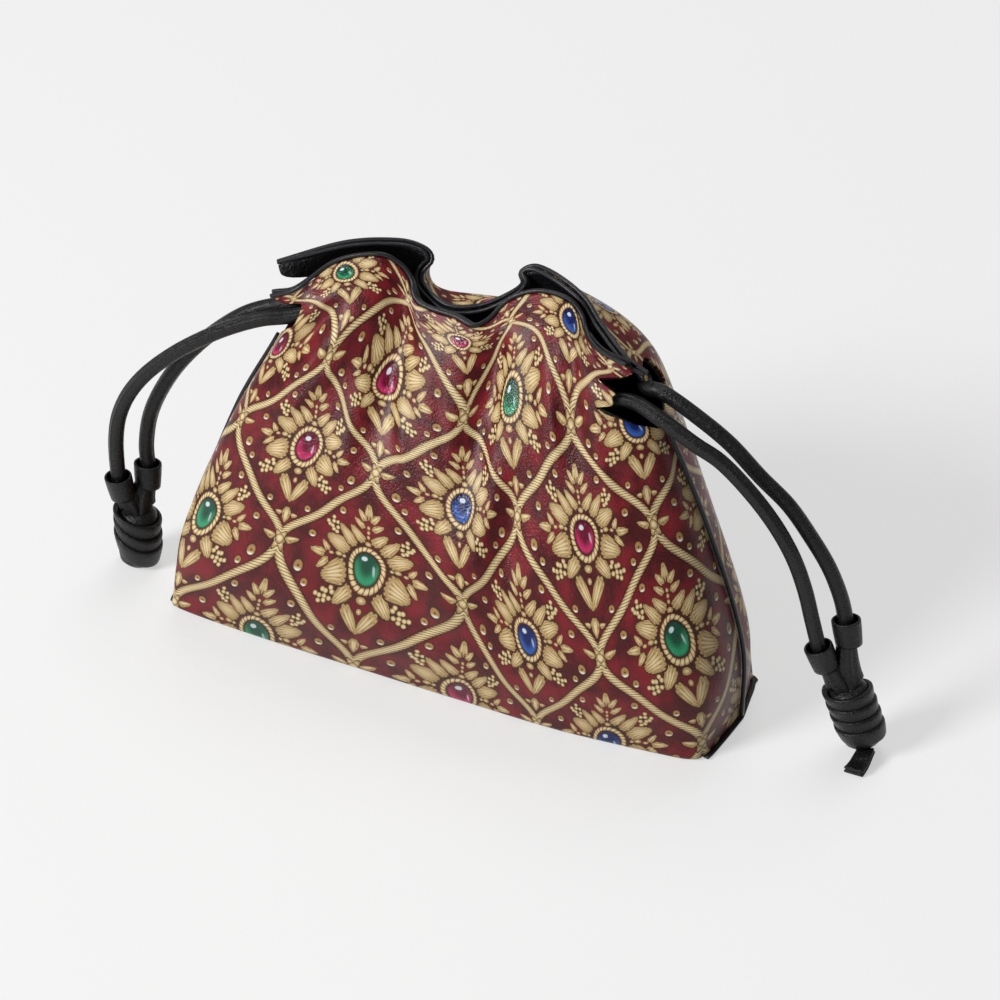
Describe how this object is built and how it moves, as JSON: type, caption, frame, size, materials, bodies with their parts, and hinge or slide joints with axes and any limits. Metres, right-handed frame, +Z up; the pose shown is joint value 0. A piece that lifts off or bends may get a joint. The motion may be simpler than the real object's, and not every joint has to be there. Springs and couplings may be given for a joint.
{
  "type": "drawstring pouch bag",
  "caption": "Wide flat-based drawstring pouch in patterned leather with a gathered mouth, black leather lining and knotted cords at each side.",
  "frame": {"origin": "middle of the flat base, on the surface that the bag stands on", "axes": "+X along the bag's long way to its right end, +Y to the back, +Z up"},
  "size_m": [0.3917, 0.0968, 0.1972],
  "materials": {
    "printed_leather": "glossy maroon leather printed with a gold ogee trellis and jewelled flowers",
    "black_leather": "pebbled black leather",
    "black_edge": "smooth black painted leather edge",
    "cord_leather": "rolled black leather with a soft sheen"
  },
  "bodies": {
    "root": {"front_panel": "printed_leather", "back_panel": "printed_leather", "front_lining": "black_leather", "back_lining": "black_leather", "front_cord_casing": "black_leather", "back_cord_casing": "black_leather", "front_rim_binding": "black_edge", "back_rim_binding": "black_edge", "left_side_seam_edge": "black_edge", "right_side_seam_edge": "black_edge", "left_base_seam_edge": "black_edge", "right_base_seam_edge": "black_edge", "front_drawstring": "cord_leather", "back_drawstring": "cord_leather", "left_knot": "cord_leather", "right_knot": "cord_leather", "left_front_collar": "cord_leather", "left_back_collar": "cord_leather", "right_front_collar": "cord_leather", "right_back_collar": "cord_leather", "right_knot_tail": "cord_leather"}
  },
  "joints": []
}
